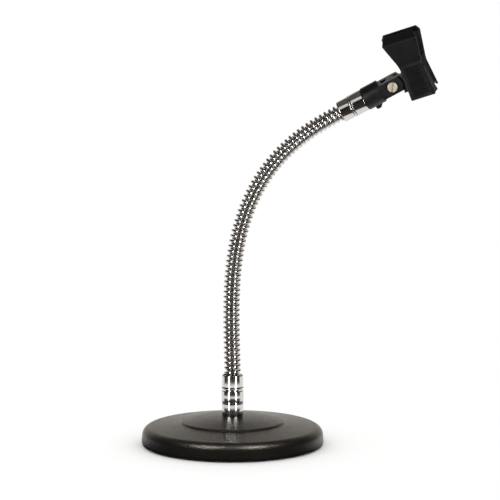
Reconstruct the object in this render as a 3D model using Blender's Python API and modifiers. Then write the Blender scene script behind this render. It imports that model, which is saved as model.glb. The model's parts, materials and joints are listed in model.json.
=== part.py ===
"""A desktop microphone stand: a weighted round base, a chrome gooseneck of two interleaved
wires, threaded chrome fittings at both ends, and a swivelling spring clip for a microphone.

Sizes are in millimetres and become metres through MM. The origin is the centre of the
underside of the base, on the desk. +Z is up, and the neck bends in the XZ plane towards +X.
"""

import math

import bmesh
import bpy
from mathutils import Matrix, Vector

MM = 0.001

# Round pieces: the number of flats, and the largest turn between two points of a fillet
BASE_FLATS = 48
FITTING_FLATS = 24
SMALL_FLATS = 16
FILLET_TURN = math.radians(30)

# The 5/8 inch microphone thread, modelled smooth
THREAD = 7.7
THREAD_BORE = 8.0

# Base
BASE_RADIUS = 82.5
HUB_TOP = 27.0
RIM_BOTTOM = 1.0
PAD_RADIUS = 76.0
PAD_THICKNESS = 2.2
BOSS_BOTTOM = 12.6
BASE_BORE = 8.1

# Fittings between the base and the neck, as heights
STEM_FOOT = 27.3
STEM_TOP = 37.8
STEM_RADIUS = 9.8
WASHER_FOOT = 38.1
WASHER_TOP = 39.6
COUPLER_FOOT = 39.9
COUPLER_TOP = 49.2
COUPLER_RADIUS = 9.9
COUPLER_BELLY = 10.4
COUPLER_BORE_TOP = 47.5
GROOVE_RADIUS = 8.7
GROOVE_TOP = 50.8
RING_FOOT = 51.1
RING_TOP = 52.5
RING_RADIUS = 10.2
FERRULE_FOOT = 52.8
FERRULE_TOP = 64.0
FERRULE_RADIUS = 9.7
FERRULE_BORE = 8.2
SPIGOT = 7.9
SPIGOT_LENGTH = 4.0
STUD_FOOT = 3.8
STUD_TOP = 47.0

# Gooseneck: a thick outer wire and a thin core wire in the valley between its turns
PITCH = 4.6
TURNS = 62.5
TUCK = 5.5
COIL_RADIUS = 6.35
WIRE_RADIUS = 1.45
CORE_COIL_RADIUS = 4.65
CORE_WIRE_RADIUS = 0.7
COIL_POINTS = 10
CORE_POINTS = 7
NECK_LEAN = -1.5
NECK_TURN = 62.8
BEND_RISE = 1.85
BEND_FALL = 0.75
NECK_SAMPLES = 600
BEND_HINGES = 9
SIDE_HINGES = 6
HINGE_CLEAR_TURNS = 2.0
WIRE_CUT = 1.8
CORE_CUT = 2.0

# Upper fittings, as distances along the axis from the visible end of the coil
UPPER_FERRULE_TOP = 10.8
UPPER_RING_FOOT = 11.1
UPPER_RING_TOP = 12.5
UPPER_COUPLER_FOOT = 12.8
UPPER_COUPLER_TOP = 24.2
UPPER_COUPLER_RADIUS = 10.0
STUD_LENGTH = 13.0

# Swivel socket, as places along its own axis from the tilt screw
SOCKET_GAP = 0.4
SOCKET_MOUTH = -27.3
SOCKET_STEP = -11.3
SOCKET_RADIUS = 10.5
SOCKET_BORE = 9.3
SOCKET_BORE_END = -12.6
INSERT_OUTER = 9.0
INSERT_MARGIN = 0.8
INSERT_LENGTH = 13.6
FORK_WIDTH = 21.0
FORK_SLOT = 8.8
EAR_RADIUS = 9.7
EAR_HALF_HEIGHT = 6.8
SLOT_FLOOR = -8.4
CLIP_ROLL = math.radians(12)
LUG_FOOT = -21.9
LUG_TOP = -17.9
LUG_HEIGHT = 2.5

# Tilt screw, washer and nut
SCREW_SHANK = 2.4
SCREW_BORE = 2.7
HEAD_RADIUS = 4.5
HEAD_HEIGHT = 2.2
HEAD_SLOT = 1.2
HEAD_SLOT_DEPTH = 1.1
COUNTERBORE_RADIUS = 5.3
COUNTERBORE_DEPTH = 3.6
WASHER_RADIUS = 4.8
WASHER_THICKNESS = 0.7
FIT_GAP = 0.3
NUT_RADIUS = 4.6
NUT_HEIGHT = 3.2
NUT_POCKET_RADIUS = 5.0

# Clip, in its own frame: X along the microphone, Y away from the viewer, Z towards the jaws,
# with the tilt screw along Y through the origin
CLIP_TILT = math.radians(10.8)
TONGUE_THICKNESS = 7.2
KNUCKLE_RADIUS = 7.0
TONGUE_END = 11.7
SHOULDER_RADIUS = 11.2
WEB_BACK = 16.5
WEB_HALF_HEIGHT = 6.8
WEB_FAR_SIDE = 3.1
PIN_HEIGHT = 13.8
PIN_RADIUS = 1.5
PIN_BORE = 1.8
PIN_START = 10.9
PIN_END = 31.8
LUG_RADIUS = 3.9
LUG_WIDTH = 2.6
NEAR_LUGS = (11.5, 25.7)
FAR_LUGS = (14.5, 28.7)
# A half shell's outline as (distance from the middle plane, height, fillet)
HALF_OUTLINE = (
    (5.0, 45.7, 0.8),
    (14.0, 38.9, 2.0),
    (6.6, 15.5, 3.0),
    (6.6, 12.4, 3.0),
    (20.2, -14.4, 1.0),
    (17.8, -15.3, 1.0),
    (4.3, 11.8, 2.0),
    (4.3, 16.3, 2.0),
    (12.0, 38.2, 1.2),
    (4.1, 44.3, 0.5),
)
# A half shell's (height, start, end along X). The far half reaches a little further
HALF_ENDS = (
    (-14.9, 12.8, 34.9),
    (13.8, 10.8, 31.2),
    (38.9, 2.5, 33.8),
    (45.7, 5.5, 34.9),
)
FAR_EXTRA = 4.5
# The flared wall at the end of a handle: its outline like the shell's, how far it starts inside
# the shell's end, its thickness, and how far it leans out for each millimetre of depth
END_WALL = ((5.6, 10.6), (18.6, -13.8), (9.0, -13.8))
END_WALL_INSET = 0.5
END_WALL_THICKNESS = 1.6
END_WALL_FLARE = 0.3

# Torsion spring around the jaw pin
SPRING_RADIUS = 2.5
SPRING_WIRE = 0.5
SPRING_START = 17.9
SPRING_TURNS = 4
SPRING_PITCH = 1.6
SPRING_LEG = 20.0
SPRING_LEG_SPLAY = math.radians(20)
SPRING_POINTS = 12

FINISHES = {
    "base_coat": ((0.030, 0.028, 0.026), 0.55, 0.0),
    "desk_pad": ((0.020, 0.020, 0.020), 0.90, 0.0),
    "zinc_steel": ((0.550, 0.540, 0.510), 0.35, 1.0),
    "chrome": ((0.800, 0.790, 0.780), 0.08, 1.0),
    "core_steel": ((0.450, 0.440, 0.430), 0.25, 1.0),
    "clip_plastic": ((0.022, 0.021, 0.020), 0.42, 0.0),
    "brass": ((0.700, 0.520, 0.250), 0.30, 1.0),
    "nickel": ((0.750, 0.730, 0.680), 0.22, 1.0),
}


# ---------------------------------------------------------------- scene and helpers


def clear_scene():
    for thing in list(bpy.data.objects):
        bpy.data.objects.remove(thing)


def new_collection(name):
    group = bpy.data.collections.new(name)
    bpy.context.scene.collection.children.link(group)
    return group


clear_scene()
STAND = new_collection("desktop_mic_stand")
CUTTERS = new_collection("cutters")


def finish(name):
    """The named finish as a material, made once."""
    found = bpy.data.materials.get(name)
    if found:
        return found
    colour, roughness, metallic = FINISHES[name]
    made = bpy.data.materials.new(name)
    made.use_nodes = True
    shader = made.node_tree.nodes["Principled BSDF"]
    shader.inputs["Base Color"].default_value = (*colour, 1.0)
    shader.inputs["Roughness"].default_value = roughness
    shader.inputs["Metallic"].default_value = metallic
    return made


def add_object(name, data, look, parent=None, group=None):
    """An object in the stand's collection, with its finish, placed by its parent."""
    made = bpy.data.objects.new(name, data)
    (group or STAND).objects.link(made)
    data.materials.append(finish(look))
    made.parent = parent
    return made


def add_frame(name, matrix):
    """An empty that carries the pieces built in its own axes."""
    made = bpy.data.objects.new(name, None)
    STAND.objects.link(made)
    made.matrix_world = matrix
    return made


def rounded(corners, closed=True):
    """Corners given as (x, y) or (x, y, fillet radius), with each fillet as points on its arc."""
    points = []
    last = len(corners) - 1
    for i, (x, y, *fillet) in enumerate(corners):
        here = Vector((x, y))
        if not fillet or (not closed and i in (0, last)):
            points.append(here)
            continue
        before = (Vector(corners[i - 1][:2]) - here).normalized()
        after = (Vector(corners[(i + 1) % (last + 1)][:2]) - here).normalized()
        half = before.angle(after) / 2
        centre = here + (before + after).normalized() * fillet[0] / math.sin(half)
        start = here + before * fillet[0] / math.tan(half) - centre
        sweep = math.pi - 2 * half
        if before.cross(after) > 0:
            sweep = -sweep
        steps = max(1, math.ceil(abs(sweep) / FILLET_TURN))
        for k in range(steps + 1):
            angle = sweep * k / steps
            turned_start = Matrix.Rotation(angle, 2) @ start
            points.append(centre + turned_start)
    return points


def turned(name, corners, look, parent=None, flats=FITTING_FLATS):
    """A turned piece about local Z. Its (radius, height) corners run down the outer side and
    back up the bore, or from the axis to the axis if there is no bore."""
    ring = corners[0][0] > 0
    points = rounded(corners, closed=ring)
    mesh = bpy.data.meshes.new(name)
    edges = [(i, i + 1) for i in range(len(points) - 1)]
    if ring:
        edges.append((len(points) - 1, 0))
    mesh.from_pydata([(r * MM, 0, z * MM) for r, z in points], edges, [])
    made = add_object(name, mesh, look, parent)
    spin = made.modifiers.new("Spin", "SCREW")
    spin.steps = flats
    spin.render_steps = flats
    spin.use_merge_vertices = True
    spin.merge_threshold = 0.00001
    return made


def tube(name, outer, bore, low, high, look, parent=None, chamfer_low=0, chamfer_high=0):
    """A plain ring or tube, with chamfered outer ends."""
    corners = [
        (outer - chamfer_high, high),
        (outer, high - chamfer_high),
        (outer, low + chamfer_low),
        (outer - chamfer_low, low),
        (bore, low),
        (bore, high),
    ]
    if not chamfer_high:
        corners.pop(1)
    if not chamfer_low:
        corners.pop(-3)
    return turned(name, corners, look, parent)


def mesh_from_curve(name, curve):
    """The curve's closed surface as a mesh, with its caps welded on."""
    holder = bpy.data.objects.new(name, curve)
    STAND.objects.link(holder)
    bpy.context.view_layer.update()
    seen = holder.evaluated_get(bpy.context.evaluated_depsgraph_get())
    mesh = bpy.data.meshes.new_from_object(seen)
    bpy.data.objects.remove(holder)
    shape = bmesh.new()
    shape.from_mesh(mesh)
    bmesh.ops.remove_doubles(shape, verts=shape.verts, dist=0.000001)
    bmesh.ops.recalc_face_normals(shape, faces=shape.faces)
    shape.to_mesh(mesh)
    shape.free()
    mesh.materials.clear()
    return mesh


def prism_mesh(name, points, low, high):
    """A flat outline in local (Y, Z), thickened along local X from low to high."""
    curve = bpy.data.curves.new(name, "CURVE")
    curve.dimensions = "2D"
    curve.fill_mode = "BOTH"
    curve.extrude = (high - low) / 2 * MM
    outline = curve.splines.new("POLY")
    outline.points.add(len(points) - 1)
    for spot, (y, z) in zip(outline.points, points):
        spot.co = (y * MM, z * MM, 0, 1)
    outline.use_cyclic_u = True
    mesh = mesh_from_curve(name, curve)
    middle = (high + low) / 2 * MM
    mesh.transform(Matrix(((0, 0, 1, middle), (1, 0, 0, 0), (0, 1, 0, 0), (0, 0, 0, 1))))
    return mesh


def turn_to_y(mesh):
    """Turns a mesh built by prism_mesh, so that its outline (Y, Z) becomes (X, Z) and its
    thickness runs along Y."""
    mesh.transform(Matrix(((0, 1, 0, 0), (1, 0, 0, 0), (0, 0, 1, 0), (0, 0, 0, 1))))
    mesh.flip_normals()
    return mesh


def cylinder_mesh(name, radius, low, high, axis, flats=SMALL_FLATS):
    """A cylinder along a local axis, from low to high on it."""
    mesh = bpy.data.meshes.new(name)
    shape = bmesh.new()
    bmesh.ops.create_cone(
        shape,
        cap_ends=True,
        segments=flats,
        radius1=radius * MM,
        radius2=radius * MM,
        depth=(high - low) * MM,
        matrix=Matrix.Translation((0, 0, (high + low) / 2 * MM)),
    )
    shape.to_mesh(mesh)
    shape.free()
    if axis == "X":
        mesh.transform(Matrix.Rotation(math.pi / 2, 4, "Y"))
    if axis == "Y":
        mesh.transform(Matrix.Rotation(-math.pi / 2, 4, "X"))
    return mesh


def box_mesh(name, low, high):
    """A box between two corners."""
    mesh = bpy.data.meshes.new(name)
    shape = bmesh.new()
    size = [b - a for a, b in zip(low, high)]
    middle = [(a + b) / 2 * MM for a, b in zip(low, high)]
    place = Matrix.Translation(middle) @ Matrix.Diagonal((*[s * MM for s in size], 1))
    bmesh.ops.create_cube(shape, size=1.0, matrix=place)
    shape.to_mesh(mesh)
    shape.free()
    return mesh


def shape_with(piece, mesh, operation):
    """Joins a mesh in the piece's own frame to the piece, or cuts it away."""
    tool = add_object(mesh.name, mesh, piece.data.materials[0].name, piece.parent, CUTTERS)
    tool.hide_render = True
    tool.display_type = "WIRE"
    step = piece.modifiers.new(mesh.name, "BOOLEAN")
    step.operation = operation
    step.object = tool


def join(piece, mesh):
    shape_with(piece, mesh, "UNION")


def cut(piece, mesh):
    shape_with(piece, mesh, "DIFFERENCE")


def wire(name, points, radius, look, parent=None, sides=0):
    """A round wire through points, as a poly curve with filled ends."""
    curve = bpy.data.curves.new(name, "CURVE")
    curve.dimensions = "3D"
    curve.bevel_depth = radius * MM
    curve.bevel_resolution = sides
    curve.use_fill_caps = True
    path = curve.splines.new("POLY")
    path.points.add(len(points) - 1)
    for spot, point in zip(path.points, points):
        spot.co = (*[value * MM for value in point], 1)
    return add_object(name, curve, look, parent)


# ---------------------------------------------------------------- the neck's centre line


def bend_shape(t):
    """Relative curvature at the fraction t of the visible neck: soft at the foot, tightest at
    two thirds of its height, straight again at the top ferrule."""
    return t**BEND_RISE * (1 - t) ** BEND_FALL


def neck_line():
    """Samples of (length, x, z, lean, share of the bend done) from the start of the coil,
    which is straight where it is tucked into a ferrule."""
    length = PITCH * TURNS
    visible = length - 2 * TUCK
    step = visible / NECK_SAMPLES
    middles = [(i + 0.5) / NECK_SAMPLES for i in range(NECK_SAMPLES)]
    total = sum(bend_shape(t) for t in middles)
    lean = math.radians(NECK_LEAN)
    x = 0.0
    z = FERRULE_TOP
    samples = [(0.0, -TUCK * math.sin(lean), z - TUCK * math.cos(lean), lean, 0.0)]
    samples.append((TUCK, x, z, lean, 0.0))
    share = 0.0
    for i, t in enumerate(middles):
        share += bend_shape(t) / total
        lean = math.radians(NECK_LEAN + NECK_TURN * share)
        x += step * math.sin(lean)
        z += step * math.cos(lean)
        samples.append((TUCK + step * (i + 1), x, z, lean, share))
    samples.append((length, x + TUCK * math.sin(lean), z + TUCK * math.cos(lean), lean, 1.0))
    return samples


NECK = neck_line()


def neck_at(length):
    """(x, z, lean) of the centre line at a length from the start of the coil."""
    for low, high in zip(NECK, NECK[1:]):
        if length <= high[0]:
            break
    mix = (length - low[0]) / (high[0] - low[0])
    return tuple(a + (b - a) * mix for a, b in zip(low[1:4], high[1:4]))


def turns_at_share(share):
    """The number of turns up the coil at which this share of the rest bend is done."""
    for low, high in zip(NECK, NECK[1:]):
        if share <= high[4]:
            break
    return high[0] / PITCH


def hinge_turns():
    """Where the coil is cut: bend hinges at equal steps of the rest bend, with the wire's end
    at a side of the coil, and side hinges spread evenly, with the end at its front or back."""
    bends = []
    for i in range(BEND_HINGES):
        wanted = turns_at_share((i + 0.5) / BEND_HINGES)
        bends.append(round(2 * wanted - 0.5) / 2 + 0.25)
    sides = []
    for i in range(SIDE_HINGES):
        wanted = TURNS * (i + 0.5) / SIDE_HINGES
        below = max([b for b in bends if b <= wanted], default=0.0)
        above = min([b for b in bends if b > wanted], default=TURNS)
        low = below + HINGE_CLEAR_TURNS
        high = above - HINGE_CLEAR_TURNS
        sides.append(round(2 * min(max(wanted, low), high)) / 2)
    return bends, sides


def coil_points(start, end, radius, offset, density):
    """Points of a right-handed helix about the neck's centre line, from one turn to another."""
    steps = round((end - start) * density)
    points = []
    for i in range(steps + 1):
        turn = start + (end - start) * i / steps
        x, z, lean = neck_at((turn + offset) * PITCH)
        across = Vector((math.cos(lean), 0, -math.sin(lean)))
        angle = 2 * math.pi * turn
        spoke = across * math.cos(angle) + Vector((0, 1, 0)) * math.sin(angle)
        points.append(Vector((x, 0, z)) + spoke * radius)
    return points


# ---------------------------------------------------------------- base and lower fittings


def build_base():
    corners = [
        (10.2, HUB_TOP, 1.0),
        (27.0, 25.6, 60.0),
        (46.4, 21.7, 1.2),
        (48.2, 20.1, 1.0),
        (81.6, 15.8, 8.0),
        (BASE_RADIUS, 3.2),
        (81.8, RIM_BOTTOM),
        (76.7, RIM_BOTTOM),
        (76.7, 2.5),
        (73.0, 2.5),
        (71.5, 9.5, 2.0),
        (46.0, 13.8, 6.0),
        (17.5, 17.5, 2.0),
        (15.0, BOSS_BOTTOM),
        (BASE_BORE, BOSS_BOTTOM),
        (BASE_BORE, HUB_TOP),
    ]
    turned("base_casting", corners, "base_coat", flats=BASE_FLATS)
    pad = [(0, PAD_THICKNESS), (PAD_RADIUS, PAD_THICKNESS), (PAD_RADIUS, 0.0), (0, 0.0)]
    turned("base_pad", pad, "desk_pad", flats=BASE_FLATS)


def build_base_fastening():
    stud = [
        (0, STUD_TOP),
        (THREAD - 1.0, STUD_TOP),
        (THREAD, STUD_TOP - 1.0),
        (THREAD, STUD_FOOT + 1.0),
        (THREAD - 1.0, STUD_FOOT),
        (0, STUD_FOOT),
    ]
    turned("base_stud", stud, "zinc_steel")
    tube("stud_washer", 14.0, THREAD_BORE, 10.8, 12.3, "zinc_steel")
    nut = add_object("stud_nut", cylinder_mesh("stud_nut", 12.7, 4.8, 10.5, "Z", 6), "zinc_steel")
    cut(nut, cylinder_mesh("stud_nut_thread", THREAD_BORE, 4.0, 11.0, "Z", FITTING_FLATS))


def build_lower_fittings():
    tube("base_stem", STEM_RADIUS, THREAD_BORE, STEM_FOOT, STEM_TOP, "chrome", chamfer_high=0.5)
    middle = (WASHER_FOOT + WASHER_TOP) / 2
    beads = [
        (9.9, WASHER_TOP),
        (10.2, WASHER_TOP - 0.3),
        (9.6, middle),
        (10.2, WASHER_FOOT + 0.3),
        (9.9, WASHER_FOOT),
        (THREAD_BORE, WASHER_FOOT),
        (THREAD_BORE, WASHER_TOP),
    ]
    turned("stem_washer", beads, "chrome")
    spigot_top = RING_TOP + SPIGOT_LENGTH
    coupler = [
        (0, spigot_top),
        (SPIGOT, spigot_top),
        (SPIGOT, GROOVE_TOP),
        (GROOVE_RADIUS, GROOVE_TOP),
        (GROOVE_RADIUS, COUPLER_TOP),
        (COUPLER_RADIUS - 0.4, COUPLER_TOP),
        (COUPLER_RADIUS, COUPLER_TOP - 0.4),
        (COUPLER_BELLY, (COUPLER_FOOT + COUPLER_TOP) / 2, 12.0),
        (COUPLER_RADIUS, COUPLER_FOOT + 0.4),
        (COUPLER_RADIUS - 0.4, COUPLER_FOOT),
        (THREAD_BORE, COUPLER_FOOT),
        (THREAD_BORE, COUPLER_BORE_TOP),
        (0, COUPLER_BORE_TOP),
    ]
    turned("lower_coupler", coupler, "chrome")
    tube("collar_ring", RING_RADIUS, FERRULE_BORE, RING_FOOT, RING_TOP, "chrome", None, 0.3, 0.3)
    tube(
        "lower_ferrule",
        FERRULE_RADIUS,
        FERRULE_BORE,
        FERRULE_FOOT,
        FERRULE_TOP,
        "chrome",
        chamfer_low=0.6,
        chamfer_high=0.9,
    )


# ---------------------------------------------------------------- gooseneck


def build_neck():
    """The two wires, each cut into segments at the same hinges."""
    bends, sides = hinge_turns()
    cuts = sorted(bends + sides)
    ends = [0.0] + cuts + [TURNS]
    wire_gap = WIRE_CUT / 2 / (2 * math.pi * COIL_RADIUS)
    core_gap = CORE_CUT / 2 / (2 * math.pi * CORE_COIL_RADIUS)
    for i, (low, high) in enumerate(zip(ends, ends[1:])):
        outer = coil_points(low + wire_gap, high - wire_gap, COIL_RADIUS, 0.0, COIL_POINTS)
        wire(f"neck_wire_{i:02d}", outer, WIRE_RADIUS, "chrome")
        core_high = min(high, TURNS - 0.5)
        core = coil_points(
            low + core_gap, core_high - core_gap, CORE_COIL_RADIUS, 0.5, CORE_POINTS
        )
        wire(f"neck_core_{i:02d}", core, CORE_WIRE_RADIUS, "core_steel")


# ---------------------------------------------------------------- upper fittings


def neck_end_frame():
    """Z along the end of the neck, from the visible end of the coil, and Y as in the world."""
    x, z, lean = neck_at(PITCH * TURNS - TUCK)
    turn = Matrix.Rotation(lean, 4, "Y")
    return Matrix.Translation((x * MM, 0, z * MM)) @ turn


def build_upper_fittings(frame):
    tube(
        "upper_ferrule",
        FERRULE_RADIUS,
        FERRULE_BORE,
        0.0,
        UPPER_FERRULE_TOP,
        "chrome",
        frame,
        chamfer_low=0.9,
        chamfer_high=0.4,
    )
    tube(
        "upper_ring",
        RING_RADIUS,
        FERRULE_BORE,
        UPPER_RING_FOOT,
        UPPER_RING_TOP,
        "chrome",
        frame,
        0.3,
        0.3,
    )
    stud_top = UPPER_COUPLER_TOP + STUD_LENGTH
    spigot_foot = UPPER_RING_FOOT - SPIGOT_LENGTH
    coupler = [
        (0, stud_top),
        (THREAD - 1.0, stud_top),
        (THREAD, stud_top - 1.0),
        (THREAD, UPPER_COUPLER_TOP),
        (UPPER_COUPLER_RADIUS - 0.5, UPPER_COUPLER_TOP),
        (UPPER_COUPLER_RADIUS, UPPER_COUPLER_TOP - 0.5),
        (UPPER_COUPLER_RADIUS, UPPER_COUPLER_FOOT + 0.5),
        (UPPER_COUPLER_RADIUS - 0.5, UPPER_COUPLER_FOOT),
        (SPIGOT, UPPER_COUPLER_FOOT),
        (SPIGOT, spigot_foot),
        (0, spigot_foot),
    ]
    turned("upper_coupler", coupler, "chrome", frame)


# ---------------------------------------------------------------- swivel socket


def socket_frame(neck_end):
    """X along the socket away from the neck, Y along the tilt screw away from the viewer."""
    reach = UPPER_COUPLER_TOP + SOCKET_GAP - SOCKET_MOUTH
    to_x = Matrix.Rotation(-math.pi / 2, 4, "Y")
    lift = Matrix.Translation((0, 0, reach * MM))
    return neck_end @ lift @ to_x @ Matrix.Rotation(CLIP_ROLL, 4, "X")


def ear_outline():
    """The fork in (X, Z): a flat block from the step, round at its tip."""
    points = [(SOCKET_STEP, -EAR_HALF_HEIGHT)]
    reach = math.asin(EAR_HALF_HEIGHT / EAR_RADIUS)
    steps = 8
    for i in range(steps + 1):
        angle = reach * (2 * i / steps - 1)
        points.append((EAR_RADIUS * math.cos(angle), EAR_RADIUS * math.sin(angle)))
    points.append((SOCKET_STEP, EAR_HALF_HEIGHT))
    return points


def build_socket(frame):
    half = FORK_WIDTH / 2
    fork = turn_to_y(prism_mesh("clip_socket", ear_outline(), -half, half))
    socket = add_object("clip_socket", fork, "clip_plastic", frame)
    overlap = SOCKET_STEP + 0.2
    barrel = cylinder_mesh(
        "socket_barrel", SOCKET_RADIUS - 0.1, SOCKET_MOUTH, overlap, "X", FITTING_FLATS
    )
    join(socket, barrel)
    ramp = [
        (LUG_FOOT, -SOCKET_RADIUS + 1.5),
        (LUG_FOOT, -SOCKET_RADIUS - LUG_HEIGHT + 0.8),
        (LUG_FOOT + 1.0, -SOCKET_RADIUS - LUG_HEIGHT),
        (LUG_TOP, -SOCKET_RADIUS - LUG_HEIGHT),
        (LUG_TOP + 4.0, -SOCKET_RADIUS + 1.5),
    ]
    join(socket, turn_to_y(prism_mesh("socket_lug", ramp, -2.0, 2.0)))
    bore = cylinder_mesh(
        "socket_bore", SOCKET_BORE, SOCKET_MOUTH - 2, SOCKET_BORE_END, "X", FITTING_FLATS
    )
    cut(socket, bore)
    slot = FORK_SLOT / 2
    tall = EAR_RADIUS + 3
    cut(socket, box_mesh("fork_slot", (SLOT_FLOOR, -slot, -tall), (tall, slot, tall)))
    head_floor = -half + COUNTERBORE_DEPTH
    cut(socket, cylinder_mesh("counterbore", COUNTERBORE_RADIUS, -half - 2, head_floor, "Y", 24))
    nut_floor = half - FIT_GAP - NUT_HEIGHT
    pocket = cylinder_mesh("nut_pocket", NUT_POCKET_RADIUS, nut_floor - FIT_GAP, half + 2, "Y", 6)
    cut(socket, pocket)
    cut(socket, cylinder_mesh("screw_way", SCREW_BORE, -half - 2, half + 2, "Y"))
    insert_start = SOCKET_MOUTH + INSERT_MARGIN
    insert = add_object(
        "socket_insert",
        cylinder_mesh(
            "socket_insert",
            INSERT_OUTER,
            insert_start,
            insert_start + INSERT_LENGTH - FIT_GAP,
            "X",
            FITTING_FLATS,
        ),
        "brass",
        frame,
    )
    cut(
        insert,
        cylinder_mesh(
            "insert_thread", THREAD_BORE, SOCKET_MOUTH - 2, SOCKET_BORE_END + 2, "X", FITTING_FLATS
        ),
    )


def build_tilt_fasteners(frame):
    half = FORK_WIDTH / 2
    washer_face = -half + COUNTERBORE_DEPTH - FIT_GAP
    head_seat = washer_face - WASHER_THICKNESS - FIT_GAP
    head_face = head_seat - HEAD_HEIGHT
    washer = add_object(
        "tilt_washer",
        cylinder_mesh(
            "tilt_washer", WASHER_RADIUS, washer_face - WASHER_THICKNESS, washer_face, "Y", 24
        ),
        "nickel",
        frame,
    )
    cut(washer, cylinder_mesh("washer_hole", SCREW_BORE, -half - 2, 0, "Y"))
    head = cylinder_mesh("tilt_screw", HEAD_RADIUS, head_face, head_seat, "Y", 24)
    screw = add_object("tilt_screw", head, "nickel", frame)
    join(screw, cylinder_mesh("screw_shank", SCREW_SHANK, head_seat - 0.5, half - 0.6, "Y"))
    reach = HEAD_RADIUS + 1
    slot_low = (-reach, head_face - 1, -HEAD_SLOT / 2)
    slot_high = (reach, head_face + HEAD_SLOT_DEPTH, HEAD_SLOT / 2)
    slot = box_mesh("screw_slot", slot_low, slot_high)
    slot.transform(Matrix.Rotation(math.radians(-55), 4, "Y"))
    cut(screw, slot)
    nut_face = half - FIT_GAP
    nut_mesh = cylinder_mesh("tilt_nut", NUT_RADIUS, nut_face - NUT_HEIGHT, nut_face, "Y", 6)
    nut = add_object("tilt_nut", nut_mesh, "nickel", frame)
    cut(nut, cylinder_mesh("nut_thread", SCREW_BORE, 0, half + 2, "Y"))


# ---------------------------------------------------------------- clip


def ends_at(height):
    """The start and end along X of a half shell at a height."""
    for low, high in zip(HALF_ENDS, HALF_ENDS[1:]):
        if height <= high[0]:
            break
    mix = min(max((height - low[0]) / (high[0] - low[0]), 0.0), 1.0)
    return tuple(a + (b - a) * mix for a, b in zip(low[1:], high[1:]))


def half_shell_mesh(name, side):
    """One half of the clip, with its ends drafted. side is -1 for the near half, 1 for the far."""
    points = [(side * y, z) for y, z in rounded(HALF_OUTLINE)]
    extra = FAR_EXTRA if side > 0 else 0.0
    mesh = prism_mesh(name, points, -1.0, 1.0)
    for vertex in mesh.vertices:
        start, end = ends_at(vertex.co.z / MM)
        vertex.co.x = (end + extra if vertex.co.x > 0 else start) * MM
    return mesh


def handle_depth(y, z):
    """How deep a point lies inside a handle, from the handle's outer face."""
    high_y, high_z = HALF_OUTLINE[3][:2]
    low_y, low_z = HALF_OUTLINE[4][:2]
    outer = high_y + (low_y - high_y) * (high_z - z) / (high_z - low_z)
    return outer - abs(y)


def end_wall_mesh(name, side):
    """The wedge-shaped wall that closes a handle's end, leaning out towards its free edge."""
    extra = FAR_EXTRA if side > 0 else 0.0
    mesh = prism_mesh(name, [(side * y, z) for y, z in END_WALL], -1.0, 1.0)
    for vertex in mesh.vertices:
        y = vertex.co.y / MM
        z = vertex.co.z / MM
        outside = ends_at(z)[1] + extra - END_WALL_INSET + END_WALL_FLARE * handle_depth(y, z)
        inside = outside - END_WALL_THICKNESS
        vertex.co.x = (outside if vertex.co.x > 0 else inside) * MM
    return mesh


def lug_outline(side):
    """A hinge lug in (Y, Z): round about the pin, with an arm into its half shell."""
    points = []
    steps = 8
    for i in range(steps + 1):
        angle = math.pi * (0.5 + i / steps)
        points.append((-side * LUG_RADIUS * math.cos(angle + math.pi), LUG_RADIUS * math.sin(angle)))
    arm = 5.4
    points.append((side * arm, -LUG_RADIUS))
    points.append((side * arm, LUG_RADIUS))
    return [(y, z + PIN_HEIGHT) for y, z in points]


def add_lugs(piece, side, starts):
    for i, start in enumerate(starts):
        mesh = prism_mesh(f"{piece.name}_lug_{i}", lug_outline(side), start, start + LUG_WIDTH)
        join(piece, mesh)


def drill_pin_way(piece):
    way = cylinder_mesh(f"{piece.name}_pin_way", PIN_BORE, 0.0, 45.0, "X")
    way.transform(Matrix.Translation((0, 0, PIN_HEIGHT * MM)))
    cut(piece, way)


def tongue_outline():
    """The tongue in (X, Z): a round knuckle about the screw, running into the web."""
    points = []
    steps = 12
    for i in range(steps + 1):
        angle = math.pi * (0.5 + i / steps)
        points.append((KNUCKLE_RADIUS * math.cos(angle), KNUCKLE_RADIUS * math.sin(angle)))
    points.append((TONGUE_END, -KNUCKLE_RADIUS))
    points.append((TONGUE_END, KNUCKLE_RADIUS))
    return points


def web_outline():
    """The web behind the tongue in (X, Z), hollowed around the ears of the fork."""
    points = [(WEB_BACK, WEB_HALF_HEIGHT), (WEB_BACK, -WEB_HALF_HEIGHT)]
    reach = math.asin(WEB_HALF_HEIGHT / SHOULDER_RADIUS)
    steps = 8
    for i in range(steps + 1):
        angle = reach * (2 * i / steps - 1)
        points.append((SHOULDER_RADIUS * math.cos(angle), SHOULDER_RADIUS * math.sin(angle)))
    return points


def web_near_side(height):
    """How far the web reaches towards the viewer: into the near half shell."""
    waist_y, waist_z = 5.4, 12.4
    end_y, end_z = 19.0, -14.9
    mix = (waist_z - height) / (waist_z - end_z)
    return -(waist_y + (end_y - waist_y) * max(mix, 0.0))


def build_clip_body(frame):
    body = add_object("clip_body", half_shell_mesh("clip_body", -1), "clip_plastic", frame)
    web = turn_to_y(prism_mesh("clip_web", web_outline(), -1.0, 1.0))
    for vertex in web.vertices:
        if vertex.co.y > 0:
            vertex.co.y = WEB_FAR_SIDE * MM
        else:
            vertex.co.y = web_near_side(vertex.co.z / MM) * MM
    join(body, web)
    half = TONGUE_THICKNESS / 2
    join(body, turn_to_y(prism_mesh("clip_tongue", tongue_outline(), -half, half)))
    join(body, end_wall_mesh("near_end_wall", -1))
    add_lugs(body, -1, NEAR_LUGS)
    drill_pin_way(body)
    cut(body, cylinder_mesh("tongue_screw_way", SCREW_BORE, -8.0, 8.0, "Y"))


def build_clip_lever(frame):
    lever = add_object("clip_lever", half_shell_mesh("clip_lever", 1), "clip_plastic", frame)
    join(lever, end_wall_mesh("far_end_wall", 1))
    add_lugs(lever, 1, FAR_LUGS)
    drill_pin_way(lever)


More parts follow.
